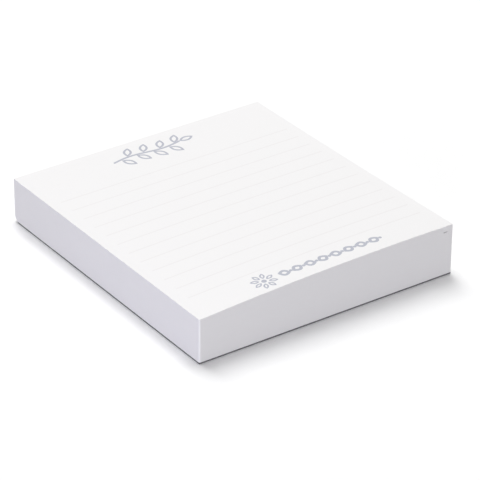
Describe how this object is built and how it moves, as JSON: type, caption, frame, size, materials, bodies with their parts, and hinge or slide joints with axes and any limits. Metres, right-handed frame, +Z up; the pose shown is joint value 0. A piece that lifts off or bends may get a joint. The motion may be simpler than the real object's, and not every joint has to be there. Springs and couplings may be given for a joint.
{
  "type": "sticky note pad",
  "caption": "Pad of ruled self-stick notes on a thin grey board, held along its heading edge by low-tack strips and fanned up at one loose corner",
  "frame": {"origin": "centre of the underside, on the surface that the pad lies on", "axes": "+X along the ruled lines toward the side with the fanned corner, +Y to the heading edge where the notes stick together, +Z up through the notes"},
  "size_m": [0.068, 0.075, 0.0127],
  "materials": {
    "note_paper": "matt uncoated white writing paper, cut clean at the edges",
    "low_tack_adhesive": "thin matt coat of low-tack adhesive",
    "grey_board": "plain grey board, matt"
  },
  "bodies": {
    "root": {"note_sheets": "note_paper", "adhesive_strip": "low_tack_adhesive", "backing_sheet": "grey_board"}
  },
  "joints": []
}
